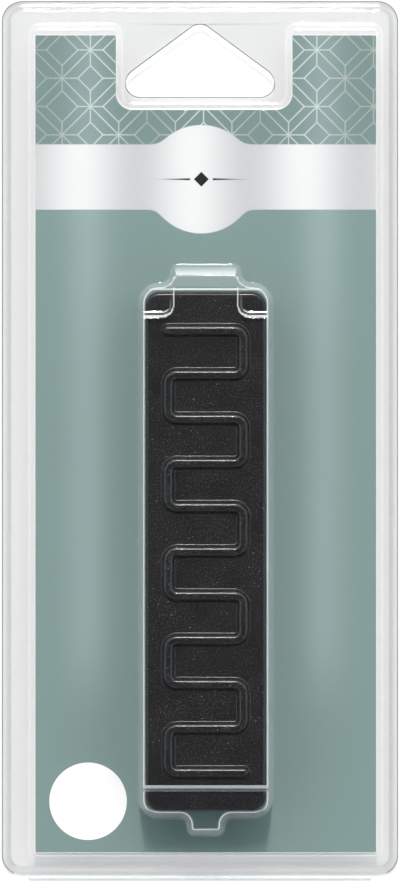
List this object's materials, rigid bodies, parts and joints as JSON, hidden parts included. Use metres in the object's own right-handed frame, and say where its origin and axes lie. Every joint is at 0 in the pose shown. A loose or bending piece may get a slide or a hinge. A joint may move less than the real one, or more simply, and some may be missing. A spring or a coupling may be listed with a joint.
{
  "type": "wax filler stick in a clear clamshell hang pack",
  "caption": "Cast wax block for filling marks in furniture, sealed over a printed card in a clear hinged clamshell with a hang hole.",
  "frame": {"origin": "middle of the closed pack's outline, on the surface that its back lies on", "axes": "+Z out of the pack's front, +Y towards the hang hole, +X to the right as the front is seen"},
  "size_m": [0.09, 0.1996, 0.0222],
  "materials": {
    "clear_sheet": "clear thermoformed sheet, glossy",
    "clear_bead": "clear folded sheet edge, glossy",
    "printed_board": "grey-green print with a silver band, satin",
    "label_paper": "white coated paper",
    "black_wax": "cast black wax, dull sheen"
  },
  "bodies": {
    "back": {"back_shell": "clear_sheet", "living_hinge": "clear_bead"},
    "front": {"front_shell": "clear_sheet"},
    "insert": {"card": "printed_board", "shade_label": "label_paper"},
    "stick": {"wax_stick": "black_wax"}
  },
  "joints": [
    {"name": "front_hinge", "type": "hinge", "parent": "back", "child": "front", "pos_m": [0, -0.0993, 0.0005], "axis": [1, 0, 0], "range_deg": [0, 118]},
    {"name": "stick_lift", "type": "slide", "parent": "back", "child": "stick", "axis": [0, 0, 1], "range_m": [0, 0.031]},
    {"name": "card_lift", "type": "slide", "parent": "back", "child": "insert", "axis": [0, 0, 1], "range_m": [0, 0.0104]}
  ],
  "couplings": [
    {"joint": "stick_lift", "follows": "front_hinge", "m_per_rad": 0.015},
    {"joint": "card_lift", "follows": "front_hinge", "m_per_rad": 0.005}
  ]
}
